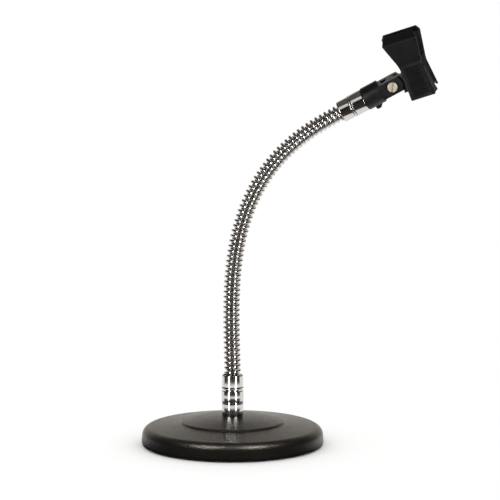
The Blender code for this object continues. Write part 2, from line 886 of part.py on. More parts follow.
def spring_points():
    """Down one leg, around the pin, and down the other leg."""
    reach = SPRING_LEG
    splay = SPRING_LEG_SPLAY
    sin, cos = math.sin(splay), math.cos(splay)
    near_touch = math.pi - splay
    far_touch = splay
    sweep = 2 * math.pi * SPRING_TURNS - (near_touch - far_touch)
    sweep = abs(sweep)
    length = SPRING_PITCH * SPRING_TURNS
    count = SPRING_POINTS * SPRING_TURNS
    coil = []
    for i in range(count + 1):
        share = i / count
        angle = near_touch - sweep * share
        y = SPRING_RADIUS * math.cos(angle)
        z = PIN_HEIGHT + SPRING_RADIUS * math.sin(angle)
        coil.append((SPRING_START + length * share, y, z))
    first = coil[0]
    last = coil[-1]
    near_end = (first[0], first[1] - reach * sin, first[2] - reach * cos)
    far_end = (last[0], last[1] + reach * sin, last[2] - reach * cos)
    return [near_end, *coil, far_end]


def build_jaw_hinge(frame):
    pin = add_object(
        "jaw_pin", cylinder_mesh("jaw_pin", PIN_RADIUS, PIN_START, PIN_END, "X"), "nickel", frame
    )
    pin.data.transform(Matrix.Translation((0, 0, PIN_HEIGHT * MM)))
    wire("jaw_spring", spring_points(), SPRING_WIRE, "nickel", frame)


# ---------------------------------------------------------------- assembly


def smooth_round_pieces():
    """Soft shading across fillets and flats, with real edges kept sharp."""
    for piece in STAND.objects:
        if piece.type == "MESH":
            piece.data.shade_smooth()
            piece.data.set_sharp_from_angle(angle=math.radians(35))


build_base()
build_base_fastening()
build_lower_fittings()
build_neck()
neck_end = neck_end_frame()
build_upper_fittings(add_frame("neck_end", neck_end))
socket_place = socket_frame(neck_end)
socket_axes = add_frame("socket_axes", socket_place)
build_socket(socket_axes)
build_tilt_fasteners(socket_axes)
clip_place = socket_place @ Matrix.Rotation(CLIP_TILT, 4, "Y")
clip_axes = add_frame("clip_axes", clip_place)
build_clip_body(clip_axes)
build_clip_lever(clip_axes)
build_jaw_hinge(clip_axes)
smooth_round_pieces()
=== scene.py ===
"""How the desktop microphone stand looks: a powder-coated base, a chrome gooseneck of two
interleaved wires between chrome fittings, and a moulded spring clip, on a white floor between
two tall soft lights.

Sizes are in millimetres and become metres through MM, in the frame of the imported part: the
origin on the desk under the centre of the base, +Z up, the neck bent towards +X.
"""

import json
import math

import bmesh
import bpy
from mathutils import Matrix, Vector

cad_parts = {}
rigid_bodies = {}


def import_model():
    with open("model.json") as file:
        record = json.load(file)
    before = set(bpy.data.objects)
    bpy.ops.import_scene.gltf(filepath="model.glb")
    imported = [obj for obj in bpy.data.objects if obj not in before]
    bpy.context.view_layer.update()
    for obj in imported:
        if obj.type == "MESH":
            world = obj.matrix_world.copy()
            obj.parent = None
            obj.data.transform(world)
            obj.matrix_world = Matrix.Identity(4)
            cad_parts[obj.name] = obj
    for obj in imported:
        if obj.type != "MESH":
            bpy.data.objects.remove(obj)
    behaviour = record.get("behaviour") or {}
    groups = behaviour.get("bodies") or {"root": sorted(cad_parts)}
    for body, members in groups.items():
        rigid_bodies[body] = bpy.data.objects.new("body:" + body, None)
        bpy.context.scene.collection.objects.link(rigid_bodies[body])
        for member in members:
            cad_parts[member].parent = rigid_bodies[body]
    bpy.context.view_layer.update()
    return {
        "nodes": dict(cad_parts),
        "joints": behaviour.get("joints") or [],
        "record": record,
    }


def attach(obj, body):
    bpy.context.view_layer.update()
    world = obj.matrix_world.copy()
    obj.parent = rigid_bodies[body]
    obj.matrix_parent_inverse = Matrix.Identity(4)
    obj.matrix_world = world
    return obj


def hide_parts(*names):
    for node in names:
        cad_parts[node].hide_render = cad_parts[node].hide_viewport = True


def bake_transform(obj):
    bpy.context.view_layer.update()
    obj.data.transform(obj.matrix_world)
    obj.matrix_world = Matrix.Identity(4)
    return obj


MM = 0.001

# How finely round shapes are divided
FILLET_TURN = math.radians(7)
LATHE_FLATS = 96
BASE_FLATS = 192

# Base
BASE_RADIUS = 82.5
HUB_TOP = 27.0
PAD_RADIUS = 76.0

# Fittings
THREAD = 7.7
THREAD_BORE = 8.0
THREAD_PITCH = 0.94
FERRULE_TOP = 64.0

# Gooseneck
PITCH = 4.6
TURNS = 62.5
TUCK = 5.5
COIL_RADIUS = 6.35
WIRE_RADIUS = 1.45
CORE_COIL_RADIUS = 4.65
CORE_WIRE_RADIUS = 0.7
WIRE_POINTS = 32
WIRE_SIDES = 14
CORE_POINTS = 24
CORE_SIDES = 8
NECK_LEAN = -1.5
NECK_TURN = 62.8
BEND_RISE = 1.85
BEND_FALL = 0.75
NECK_SAMPLES = 600

# Upper fittings and swivel socket
UPPER_COUPLER_TOP = 24.2
SOCKET_GAP = 0.4
SOCKET_MOUTH = -27.3
SOCKET_STEP = -11.3
SOCKET_RADIUS = 10.5
SOCKET_BORE = 9.3
SOCKET_BORE_END = -12.6
FORK_HALF = 10.5
FORK_SLOT_HALF = 4.4
EAR_RADIUS = 9.7
EAR_HALF_HEIGHT = 6.8
SLOT_FLOOR = -8.4
CLIP_ROLL = math.radians(12)
CLIP_TILT = math.radians(10.8)

# Clip, in its own frame: X along the microphone, Y away from the viewer, Z towards the jaws
PIN_HEIGHT = 13.8
PIN_RADIUS = 1.5
HINGE_RADIUS = 3.9
HINGE_WIDTH = 2.6
NEAR_HINGES = (11.5, 25.7)
FAR_HINGES = (14.5, 28.7)
SHELL_OUTLINE = (
    (5.4, 44.0, 0.8),
    (14.0, 38.0, 2.0),
    (6.6, 15.5, 3.0),
    (6.6, 12.4, 3.0),
    (20.2, -14.4, 1.0),
    (17.8, -15.3, 1.0),
    (4.3, 11.8, 2.0),
    (4.3, 16.3, 2.0),
    (12.0, 37.3, 1.2),
    (4.5, 42.7, 0.5),
)
# A half shell's (height, start, end along X). The far half reaches a little further
SHELL_ENDS = (
    (-14.9, 12.8, 34.9),
    (13.8, 10.8, 31.2),
    (38.0, 2.5, 33.8),
    (44.0, 5.5, 31.4),
)
FAR_EXTRA = 4.5
END_WALL = ((5.6, 10.6), (18.6, -13.8), (9.0, -13.8))
RIB_COUNT = 14
RIB_TOP = 11.6
RIB_FOOT = -12.9
RIB_HEIGHT = 0.9
RIB_MARGIN = 3.0
SHELL_EDGE = 0.6

# Camera and lights
CAMERA_AZIMUTH = math.radians(7.5)
CAMERA_ELEVATION = math.radians(7.31)
CAMERA_DISTANCE = 2.2617
CAMERA_TARGET = (0.01591, 0.0, 0.17763)
CAMERA_LENS = 181.3
STRIP_TURNS = (math.radians(-38), math.radians(36))
FOOT_CHROME = ("stem_tube", "beaded_washer", "barrel_coupler", "coupler_ring", "foot_ferrule")
TOP_CHROME = ("head_ferrule", "head_ring", "head_coupler")


# ---------------------------------------------------------------- shapes


def rounded(corners, closed=True):
    """Corners given as (x, y) or (x, y, fillet radius), with each fillet as points on its arc."""
    points = []
    last = len(corners) - 1
    for i, (x, y, *fillet) in enumerate(corners):
        here = Vector((x, y))
        if not fillet or (not closed and i in (0, last)):
            points.append(here)
            continue
        before = (Vector(corners[i - 1][:2]) - here).normalized()
        after = (Vector(corners[(i + 1) % (last + 1)][:2]) - here).normalized()
        half = before.angle(after) / 2
        centre = here + (before + after).normalized() * fillet[0] / math.sin(half)
        start = here + before * fillet[0] / math.tan(half) - centre
        sweep = math.pi - 2 * half
        if before.cross(after) > 0:
            sweep = -sweep
        steps = max(1, math.ceil(abs(sweep) / FILLET_TURN))
        for k in range(steps + 1):
            points.append(centre + Matrix.Rotation(sweep * k / steps, 2) @ start)
    return points


def bridge(shape, low, high):
    """Faces between two rows of vertices that close on themselves. A row can be one point."""
    count = max(len(low), len(high))
    for i in range(count):
        j = (i + 1) % count
        corners = [low[i % len(low)], low[j % len(low)], high[j % len(high)], high[i % len(high)]]
        shape.faces.new(list(dict.fromkeys(corners)))


def mesh_of(name, shape, smooth_angle=math.radians(32)):
    """The bmesh as a mesh with outward faces and soft shading up to an angle."""
    bmesh.ops.recalc_face_normals(shape, faces=shape.faces)
    mesh = bpy.data.meshes.new(name)
    shape.to_mesh(mesh)
    shape.free()
    mesh.shade_smooth()
    mesh.set_sharp_from_angle(angle=smooth_angle)
    return mesh


def lathe(name, corners, flats=LATHE_FLATS):
    """A turned mesh about local Z. Its (radius, height, fillet) corners run down the outer side
    and back up the bore, or from the axis to the axis if there is no bore."""
    ring = corners[0][0] > 0
    shape = bmesh.new()
    rows = []
    for radius, height in rounded(corners, closed=ring):
        if radius < 0.0001:
            rows.append([shape.verts.new((0, 0, height * MM))])
            continue
        row = []
        for k in range(flats):
            angle = 2 * math.pi * k / flats
            spot = (radius * math.cos(angle), radius * math.sin(angle), height)
            row.append(shape.verts.new([value * MM for value in spot]))
        rows.append(row)
    if ring:
        rows.append(rows[0])
    for low, high in zip(rows, rows[1:]):
        bridge(shape, low, high)
    return mesh_of(name, shape)


def tube_corners(outer, bore, low, high, edge):
    """The corners of a plain tube with rounded outer ends."""
    inner_edge = min(edge, 0.3)
    return [
        (outer, high, edge),
        (outer, low, edge),
        (bore, low, inner_edge),
        (bore, high, inner_edge),
    ]


def threaded(radius, top, foot, depth=0.45):
    """Corners of a threaded length that run down its outer side."""
    corners = [(radius - 1.0, top), (radius, top - 1.0)]
    count = int((top - foot - 2.0) / THREAD_PITCH)
    for i in range(count):
        height = top - 1.2 - i * THREAD_PITCH
        corners.append((radius, height))
        corners.append((radius - depth, height - THREAD_PITCH / 2))
    corners.append((radius, foot + 1.0))
    corners.append((radius - 1.0, foot))
    return corners


def wire_mesh(name, points, aims, radius, sides, caps=(False, False)):
    """A round wire through points. Each ring starts at its aim, so that the rings of two pieces
    of one wire meet, and the stored normals make them shade as one."""
    vertices = []
    normals = []
    faces = []
    last = len(points) - 1
    along = []
    for i, (point, aim) in enumerate(zip(points, aims)):
        before = points[max(i - 1, 0)]
        after = points[min(i + 1, last)]
        tangent = (after - before).normalized()
        along.append(tangent)
        first = (aim - tangent * aim.dot(tangent)).normalized()
        second = tangent.cross(first)
        for k in range(sides):
            angle = 2 * math.pi * k / sides
            normal = first * math.cos(angle) + second * math.sin(angle)
            vertices.append((point + normal * radius) * MM)
            normals.append(normal)
    for i in range(last):
        for k in range(sides):
            j = (k + 1) % sides
            low = i * sides
            high = low + sides
            faces.append((low + k, low + j, high + j, high + k))
    for capped, ring, facing in ((caps[0], 0, -along[0]), (caps[1], last, along[-1])):
        if capped:
            start = len(vertices)
            vertices.extend(vertices[ring * sides : (ring + 1) * sides])
            normals.extend([facing] * sides)
            cap = list(range(start, start + sides))
            faces.append(cap if ring else cap[::-1])
    mesh = bpy.data.meshes.new(name)
    mesh.from_pydata(vertices, [], faces)
    mesh.shade_smooth()
    mesh.normals_split_custom_set_from_vertices(normals)
    return mesh


def plate_mesh(name, outlines, low, high, edge=0.0):
    """Flat outlines in local (Y, Z), the border first and then any holes, thickened along
    local X from low to high, with rounded edges."""
    curve = bpy.data.curves.new(name, "CURVE")
    curve.dimensions = "2D"
    curve.fill_mode = "BOTH"
    curve.extrude = ((high - low) / 2 - edge) * MM
    curve.bevel_depth = edge * MM
    curve.bevel_resolution = 2
    curve.offset = -edge * MM
    for points in outlines:
        outline = curve.splines.new("POLY")
        outline.points.add(len(points) - 1)
        for spot, (y, z) in zip(outline.points, points):
            spot.co = (y * MM, z * MM, 0, 1)
        outline.use_cyclic_u = True
    holder = bpy.data.objects.new(name, curve)
    bpy.context.scene.collection.objects.link(holder)
    bpy.context.view_layer.update()
    seen = holder.evaluated_get(bpy.context.evaluated_depsgraph_get())
    flat = bpy.data.meshes.new_from_object(seen)
    bpy.data.objects.remove(holder)
    shape = bmesh.new()
    shape.from_mesh(flat)
    bpy.data.meshes.remove(flat)
    bmesh.ops.remove_doubles(shape, verts=shape.verts, dist=0.000002)
    middle = (high + low) / 2 * MM
    to_x = Matrix(((0, 0, 1, middle), (1, 0, 0, 0), (0, 1, 0, 0), (0, 0, 0, 1)))
    bmesh.ops.transform(shape, matrix=to_x, verts=shape.verts)
    mesh = mesh_of(name, shape)
    mesh.materials.clear()
    return mesh


def turn_to_y(mesh):
    """Turns a mesh built by plate_mesh, so that its outline (Y, Z) becomes (X, Z) and its
    thickness runs along Y."""
    mesh.transform(Matrix(((0, 1, 0, 0), (1, 0, 0, 0), (0, 0, 1, 0), (0, 0, 0, 1))))
    mesh.flip_normals()
    return mesh


def circle(radius, count=48, middle=(0.0, 0.0)):
    """Points of a circle in a plate's outline plane, clockwise as a hole wants them."""
    points = []
    for i in range(count):
        angle = -2 * math.pi * i / count
        points.append((middle[0] + radius * math.cos(angle), middle[1] + radius * math.sin(angle)))
    return points


def rod_mesh(name, radius, low, high, axis, flats=64):
    """A plain rod along a local axis, for cutting."""
    shape = bmesh.new()
    bmesh.ops.create_cone(
        shape,
        cap_ends=True,
        segments=flats,
        radius1=radius * MM,
        radius2=radius * MM,
        depth=(high - low) * MM,
        matrix=Matrix.Translation((0, 0, (high + low) / 2 * MM)),
    )
    mesh = mesh_of(name, shape)
    if axis == "X":
        mesh.transform(Matrix.Rotation(math.pi / 2, 4, "Y"))
    if axis == "Y":
        mesh.transform(Matrix.Rotation(-math.pi / 2, 4, "X"))
    return mesh


def block_mesh(name, low, high):
    """A box between two corners, for cutting."""
    shape = bmesh.new()
    size = [(b - a) * MM for a, b in zip(low, high)]
    middle = [(a + b) / 2 * MM for a, b in zip(low, high)]
    place = Matrix.Translation(middle) @ Matrix.Diagonal((*size, 1))
    bmesh.ops.create_cube(shape, size=1.0, matrix=place)
    return mesh_of(name, shape)


def combined(name, first, steps):
    """The first mesh with others joined or cut, as one mesh. Steps are (operation, mesh)."""
    scene = bpy.context.scene.collection
    body = bpy.data.objects.new(name, first)
    scene.objects.link(body)
    tools = []
    for operation, mesh in steps:
        tool = bpy.data.objects.new(mesh.name, mesh)
        scene.objects.link(tool)
        tools.append(tool)
        step = body.modifiers.new(mesh.name, "BOOLEAN")
        step.operation = operation
        step.object = tool
        step.solver = "EXACT"
    bpy.context.view_layer.update()
    seen = body.evaluated_get(bpy.context.evaluated_depsgraph_get())
    made = bpy.data.meshes.new_from_object(seen)
    for thing in [body, *tools]:
        bpy.data.objects.remove(thing)
    made.name = name
    made.materials.clear()
    made.shade_smooth()
    made.set_sharp_from_angle(angle=math.radians(32))
    return made


def merged(name, meshes):
    """Several meshes as one, without cutting them against each other."""
    shape = bmesh.new()
    for mesh in meshes:
        shape.from_mesh(mesh)
    return mesh_of(name, shape)


# ---------------------------------------------------------------- finishes


def shader_input(tree, node, name, value):
    """Sets an input of a node, or links it if the value is another node's output."""
    if isinstance(value, bpy.types.NodeSocket):
        tree.links.new(value, node.inputs[name])
    else:
        node.inputs[name].default_value = value


def add_node(tree, kind, **values):
    node = tree.nodes.new(kind)
    for name, value in values.items():
        shader_input(tree, node, name.replace("_", " "), value)
    return node


def place_scaled(tree, scale):
    """Object coordinates, in metres, stretched by a scale for each axis."""
    where = tree.nodes.new("ShaderNodeTexCoord")
    mapping = tree.nodes.new("ShaderNodeMapping")
    mapping.inputs["Scale"].default_value = scale
    tree.links.new(where.outputs["Object"], mapping.inputs["Vector"])
    return mapping.outputs["Vector"]


def noise(tree, scale, detail=3.0, stretch=(1, 1, 1)):
    node = add_node(
        tree,
        "ShaderNodeTexNoise",
        Vector=place_scaled(tree, stretch),
        Scale=float(scale),
        Detail=float(detail),
    )
    return node.outputs["Fac"]


def spread(tree, factor, low, high):
    """Maps a noise value to a range."""
    node = tree.nodes.new("ShaderNodeMapRange")
    node.inputs["From Min"].default_value = 0.3
    node.inputs["From Max"].default_value = 0.7
    node.inputs["To Min"].default_value = low
    node.inputs["To Max"].default_value = high
    tree.links.new(factor, node.inputs["Value"])
    return node.outputs["Result"]


def colour_between(tree, factor, low, high):
    node = tree.nodes.new("ShaderNodeMix")
    node.data_type = "RGBA"
    node.inputs["A"].default_value = (*low, 1)
    node.inputs["B"].default_value = (*high, 1)
    tree.links.new(factor, node.inputs["Factor"])
    return node.outputs["Result"]


def bump(tree, height, distance, strength, under=None):
    """A bump from a height texture, over another normal if there is one."""
    node = add_node(
        tree, "ShaderNodeBump", Height=height, Distance=distance, Strength=strength
    )
    if under is not None:
        tree.links.new(under, node.inputs["Normal"])
    return node.outputs["Normal"]


def soft_edges(tree, radius):
    node = tree.nodes.new("ShaderNodeBevel")
    node.samples = 4
    node.inputs["Radius"].default_value = radius
    return node.outputs["Normal"]


def finish(name):
    """A new material with its Principled node, and a tree to add to."""
    made = bpy.data.materials.new(name)
    made.use_nodes = True
    tree = made.node_tree
    return made, tree, tree.nodes["Principled BSDF"]


def powder_coat():
    made, tree, shader = finish("powder_coat")
    patches = noise(tree, 35, 4)
    colour = colour_between(tree, patches, (0.0040, 0.0036, 0.0030), (0.0085, 0.0075, 0.0062))
    shader_input(tree, shader, "Base Color", colour)
    shader_input(tree, shader, "Roughness", spread(tree, noise(tree, 220, 3), 0.27, 0.34))
    shader_input(tree, shader, "Specular IOR Level", 0.42)
    shader_input(tree, shader, "Specular Tint", (1.0, 0.90, 0.79, 1.0))
    cells = add_node(
        tree, "ShaderNodeTexVoronoi", Vector=place_scaled(tree, (1, 1, 1)), Scale=1150.0
    )
    cells.feature = "SMOOTH_F1"
    pebble = bump(tree, cells.outputs["Distance"], 0.0003, 0.6)
    grain = bump(tree, noise(tree, 2400, 2), 0.00008, 0.3, pebble)
    shader_input(tree, shader, "Normal", grain)
    return made


def foam_rubber():
    made, tree, shader = finish("foam_rubber")
    shader_input(
        tree,
        shader,
        "Base Color",
        colour_between(tree, noise(tree, 120, 3), (0.012, 0.012, 0.012), (0.028, 0.028, 0.028)),
    )
    shader_input(tree, shader, "Roughness", spread(tree, noise(tree, 300, 3), 0.82, 0.95))
    shader_input(tree, shader, "Normal", bump(tree, noise(tree, 1800, 3), 0.0002, 0.7))
    return made


def turned_chrome():
    """Plated and polished over lathe marks, which draw reflections out along the axis."""
    made, tree, shader = finish("turned_chrome")
    shader_input(tree, shader, "Metallic", 1.0)
    smudges = noise(tree, 90, 4)
    colour = colour_between(tree, smudges, (0.60, 0.585, 0.565), (0.68, 0.665, 0.645))
    shader_input(tree, shader, "Base Color", colour)
    shader_input(tree, shader, "Roughness", spread(tree, noise(tree, 260, 4), 0.07, 0.12))
    shader_input(tree, shader, "Anisotropic", 0.5)
    tangent = tree.nodes.new("ShaderNodeTangent")
    tangent.direction_type = "RADIAL"
    tangent.axis = "Z"
    shader_input(tree, shader, "Tangent", tangent.outputs["Tangent"])
    marks = noise(tree, 60, 2, (1, 1, 60))
    shader_input(tree, shader, "Normal", bump(tree, marks, 0.00002, 0.15))
    return made


def wire_chrome():
    made, tree, shader = finish("wire_chrome")
    shader_input(tree, shader, "Metallic", 1.0)
    colour = colour_between(tree, noise(tree, 140, 4), (0.66, 0.64, 0.62), (0.76, 0.74, 0.72))
    shader_input(tree, shader, "Base Color", colour)
    shader_input(tree, shader, "Roughness", spread(tree, noise(tree, 420, 3), 0.05, 0.12))
    shader_input(tree, shader, "Normal", bump(tree, noise(tree, 900, 2), 0.00002, 0.12))
    return made


def drawn_steel():
    made, tree, shader = finish("drawn_steel")
    shader_input(tree, shader, "Metallic", 1.0)
    colour = colour_between(tree, noise(tree, 200, 3), (0.16, 0.145, 0.13), (0.30, 0.28, 0.26))
    shader_input(tree, shader, "Base Color", colour)
    shader_input(tree, shader, "Roughness", spread(tree, noise(tree, 600, 3), 0.25, 0.40))
    shader_input(tree, shader, "Normal", bump(tree, noise(tree, 1500, 2), 0.00003, 0.3))
    return made


def moulded_plastic():
    made, tree, shader = finish("moulded_plastic")
    patches = noise(tree, 60, 4)
    colour = colour_between(tree, patches, (0.0014, 0.0014, 0.0013), (0.0028, 0.0027, 0.0026))
    shader_input(tree, shader, "Base Color", colour)
    shader_input(tree, shader, "Roughness", spread(tree, noise(tree, 160, 4), 0.36, 0.48))
    shader_input(tree, shader, "Specular IOR Level", 0.42)
    edges = soft_edges(tree, 0.00035)
    shader_input(tree, shader, "Normal", bump(tree, noise(tree, 3200, 2), 0.00004, 0.35, edges))
    return made


def plated(name, low, high, roughness, metallic):
    """A plated small part with a fine brushed grain and soft edges."""
    made, tree, shader = finish(name)
    shader_input(tree, shader, "Metallic", metallic)
    colour = colour_between(tree, noise(tree, 500, 3), low, high)
    shader_input(tree, shader, "Base Color", colour)
    rough = spread(tree, noise(tree, 700, 3), roughness - 0.05, roughness + 0.07)
    shader_input(tree, shader, "Roughness", rough)
    grain = noise(tree, 1400, 2, (1, 1, 9))
    normal = bump(tree, grain, 0.00003, 0.3, soft_edges(tree, 0.00012))
    shader_input(tree, shader, "Normal", normal)
    return made


# ---------------------------------------------------------------- placing pieces


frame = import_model()
BODY_OF = {}
for body_name, members in frame["record"]["behaviour"]["bodies"].items():
    for member in members:
        BODY_OF[member] = body_name

LOOKS = {
    "base_coat": powder_coat(),
    "desk_pad": foam_rubber(),
    "zinc_steel": plated("zinc_plate", (0.50, 0.49, 0.45), (0.62, 0.60, 0.56), 0.32, 1.0),
    "chrome": turned_chrome(),
    "core_steel": drawn_steel(),
    "clip_plastic": moulded_plastic(),
    "brass": plated("turned_brass", (0.62, 0.44, 0.20), (0.74, 0.55, 0.28), 0.28, 1.0),
    "nickel": plated("bright_nickel", (0.60, 0.52, 0.40), (0.74, 0.67, 0.56), 0.34, 0.35),
}
WIRE_LOOK = wire_chrome()


def add_piece(name, mesh, slot, place=None, look=None):
    """A piece of the stand with its finish, at a place in the part's frame."""
    made = bpy.data.objects.new(name, mesh)
    bpy.context.scene.collection.objects.link(made)
    mesh.materials.append(look or LOOKS[slot])
    if place is not None:
        made.matrix_world = place
    return made


def stand_in(name, mesh, slot, node, place=None, look=None):
    """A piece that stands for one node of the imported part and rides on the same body."""
    made = add_piece(name, mesh, slot, place, look)
    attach(made, BODY_OF[node])
    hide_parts(node)
    return made


def finish_kept_nodes():
    """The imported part's own shapes that stay in view or inside get the same finishes."""
    slots = {row["node"]: row["material_slot"] for row in frame["record"]["subparts"]}
    for name, node in frame["nodes"].items():
        if node.hide_render:
            continue
        node.data.materials.clear()
        node.data.materials.append(LOOKS[slots[name]])


# ---------------------------------------------------------------- base and lower fittings


def build_base():
    corners = [
        (10.2, HUB_TOP, 0.8),
        (27.0, 25.6, 60.0),
        (46.0, 21.8, 1.0),
        (48.0, 20.1, 1.2),
        (81.6, 15.8, 8.0),
        (BASE_RADIUS, 3.2, 2.0),
        (81.8, 1.0, 0.4),
        (76.7, 1.0, 0.4),
        (76.7, 2.5, 0.3),
        (73.0, 2.5, 1.0),
        (71.5, 9.5, 2.0),
        (46.0, 13.8, 6.0),
        (17.5, 17.5, 2.0),
        (15.0, 12.6, 0.8),
        (8.1, 12.6, 0.3),
        (8.1, HUB_TOP, 0.3),
    ]
    stand_in("weighted_base", lathe("weighted_base", corners, BASE_FLATS), "base_coat", "base_casting")
    pad = [(0, 2.2), (PAD_RADIUS, 2.2, 0.5), (PAD_RADIUS, 0.0, 0.5), (0, 0.0)]
    stand_in("foam_pad", lathe("foam_pad", pad, BASE_FLATS), "desk_pad", "base_pad")


def hex_nut_mesh(name, radius, hole, low, high):
    """A hexagonal nut along local Z, its corners turned off at both ends."""
    flat = rod_mesh(name, radius, low, high, "Z", 6)
    cone = [
        (0, high),
        (radius * 0.88, high),
        (radius * 1.03, high - radius * 0.09),
        (radius * 1.03, low + radius * 0.09),
        (radius * 0.88, low),
        (0, low),
    ]
    bore = rod_mesh(name + "_bore", hole, low - 1, high + 1, "Z")
    return combined(
        name, flat, [("INTERSECT", lathe(name + "_cone", cone)), ("DIFFERENCE", bore)]
    )


def build_base_fastening():
    stud = [(0, 47.0), *threaded(THREAD, 47.0, 3.8), (0, 3.8)]
    stand_in("threaded_stud", lathe("threaded_stud", stud, 64), "zinc_steel", "base_stud")
    washer = tube_corners(14.0, THREAD_BORE, 10.8, 12.3, 0.4)
    stand_in("plain_washer", lathe("plain_washer", washer), "zinc_steel", "stud_washer")
    nut = hex_nut_mesh("lock_nut", 12.7, THREAD_BORE, 4.8, 10.5)
    stand_in("lock_nut", nut, "zinc_steel", "stud_nut")


def build_lower_fittings():
    stem = tube_corners(9.8, THREAD_BORE, 27.3, 37.8, 0.5)
    stand_in("stem_tube", lathe("stem_tube", stem), "chrome", "base_stem")
    beads = [
        (9.7, 39.6, 0.1),
        (10.2, 39.3, 0.35),
        (9.6, 38.85, 0.15),
        (10.2, 38.4, 0.35),
        (9.7, 38.1, 0.1),
        (THREAD_BORE, 38.1),
        (THREAD_BORE, 39.6),
    ]
    stand_in("beaded_washer", lathe("beaded_washer", beads), "chrome", "stem_washer")
    coupler = [
        (0, 56.5),
        (7.9, 56.5, 0.3),
        (7.9, 50.8),
        (8.2, 50.8, 0.2),
        (8.2, 49.2, 0.3),
        (10.0, 49.2, 0.4),
        (10.12, 44.5, 30.0),
        (10.0, 39.9, 0.4),
        (THREAD_BORE, 39.9),
        (THREAD_BORE, 47.5),
        (0, 47.5),
    ]
    stand_in("barrel_coupler", lathe("barrel_coupler", coupler), "chrome", "lower_coupler")
    ring = tube_corners(10.2, 8.2, 51.1, 52.5, 0.4)
    stand_in("coupler_ring", lathe("coupler_ring", ring), "chrome", "collar_ring")
    ferrule = [
        (9.7, FERRULE_TOP, 1.1),
        (9.7, 52.8, 0.5),
        (8.2, 52.8, 0.2),
        (8.2, FERRULE_TOP, 0.4),
    ]
    stand_in("foot_ferrule", lathe("foot_ferrule", ferrule), "chrome", "lower_ferrule")


# ---------------------------------------------------------------- gooseneck


def bend_shape(t):
    """Relative curvature at the fraction t of the visible neck: soft at the foot, tightest at
    two thirds of its height, straight again at the top ferrule."""
    return t**BEND_RISE * (1 - t) ** BEND_FALL


def neck_line():
    """Samples of (length, x, z, lean) from the start of the coil, which is straight where it is
    tucked into a ferrule."""
    length = PITCH * TURNS
    step = (length - 2 * TUCK) / NECK_SAMPLES
    middles = [(i + 0.5) / NECK_SAMPLES for i in range(NECK_SAMPLES)]
    total = sum(bend_shape(t) for t in middles)
    lean = math.radians(NECK_LEAN)
    x = 0.0
    z = FERRULE_TOP
    samples = [(0.0, -TUCK * math.sin(lean), z - TUCK * math.cos(lean), lean)]
    samples.append((TUCK, x, z, lean))
    share = 0.0
    for i, t in enumerate(middles):
        share += bend_shape(t) / total
        lean = math.radians(NECK_LEAN + NECK_TURN * share)
        x += step * math.sin(lean)
        z += step * math.cos(lean)
        samples.append((TUCK + step * (i + 1), x, z, lean))
    samples.append((length, x + TUCK * math.sin(lean), z + TUCK * math.cos(lean), lean))
    return samples


NECK = neck_line()


def neck_at(length):
    """(x, z, lean) of the centre line at a length from the start of the coil."""
    for low, high in zip(NECK, NECK[1:]):
        if length <= high[0]:
            break
    mix = (length - low[0]) / (high[0] - low[0])
    return tuple(a + (b - a) * mix for a, b in zip(low[1:4], high[1:4]))


def coil_mesh(name, start, end, thick):
    """The outer wire, or the thin wire in the valley between its turns, from one turn of the
    neck to another."""
    radius, size, density, sides = COIL_RADIUS, WIRE_RADIUS, WIRE_POINTS, WIRE_SIDES
    offset = 0.0
    if not thick:
        radius, size, density, sides = CORE_COIL_RADIUS, CORE_WIRE_RADIUS, CORE_POINTS, CORE_SIDES
        offset = 0.5
        end = min(end, TURNS - 0.5)
    steps = round((end - start) * density)
    points = []
    aims = []
    for i in range(steps + 1):
        turn = start + (end - start) * i / steps
        x, z, lean = neck_at((turn + offset) * PITCH)
        across = Vector((math.cos(lean), 0, -math.sin(lean)))
        angle = 2 * math.pi * turn
        spoke = across * math.cos(angle) + Vector((0, 1, 0)) * math.sin(angle)
        points.append(Vector((x, 0, z)) + spoke * radius)
        aims.append(spoke)
    return wire_mesh(name, points, aims, size, sides, (True, True))


def neck_hinges():
    """(turn of the coil, body below, body above, True if it bends sideways) of every hinge of
    the neck, bottom to top."""
    hinges = []
    for joint in frame["joints"]:
        if joint["name"].startswith(("neck_bend", "neck_side")):
            x, _, z = [value / MM for value in joint["pos_m"]]
            nearest = min(NECK, key=lambda sample: (sample[1] - x) ** 2 + (sample[2] - z) ** 2)
            sideways = joint["name"].startswith("neck_side")
            hinges.append((nearest[0] / PITCH, joint["parent"], joint["child"], sideways))
    return sorted(hinges)


def coil_pair(name, start, end):
    """Both wires over a stretch of the neck, as two pieces, each with its own finish."""
    made = add_piece(name, coil_mesh(name, start, end, True), "chrome", look=WIRE_LOOK)
    core = add_piece(name + "_core", coil_mesh(name + "_core", start, end, False), "core_steel")
    return made, core


def build_neck():
    """The coil, a stretch to each link. At a sideways hinge, one stretch runs from the middle of
    one link to the middle of the next, baked in place on no link. At the other hinges, which
    turn less, the stretches meet end to end."""
    hinges = neck_hinges()
    edges = [0.0] + [hinge[0] for hinge in hinges] + [TURNS]
    middles = [(low + high) / 2 for low, high in zip(edges, edges[1:])]
    links = [hinges[0][1]] + [hinge[2] for hinge in hinges]
    owners = {}
    for i, (_, below, above, sideways) in enumerate(hinges):
        if sideways:
            pair = coil_pair(f"gooseneck_bend_{i + 1:02d}", middles[i], middles[i + 1])
            for piece in pair:
                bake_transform(piece)
            owners[i + 1] = pair
    for i, body in enumerate(links):
        from_side = i > 0 and hinges[i - 1][3]
        to_side = i < len(hinges) and hinges[i][3]
        if from_side and to_side:
            continue
        start = middles[i] if from_side else edges[i]
        end = middles[i] if to_side else edges[i + 1]
        pair = coil_pair(f"gooseneck_{i:02d}", start, end)
        for piece in pair:
            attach(piece, body)
        owners[i] = pair
    for i, (wire, core) in owners.items():
        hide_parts(f"neck_wire_{i:02d}")
        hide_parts(f"neck_core_{i:02d}")


# ---------------------------------------------------------------- upper fittings


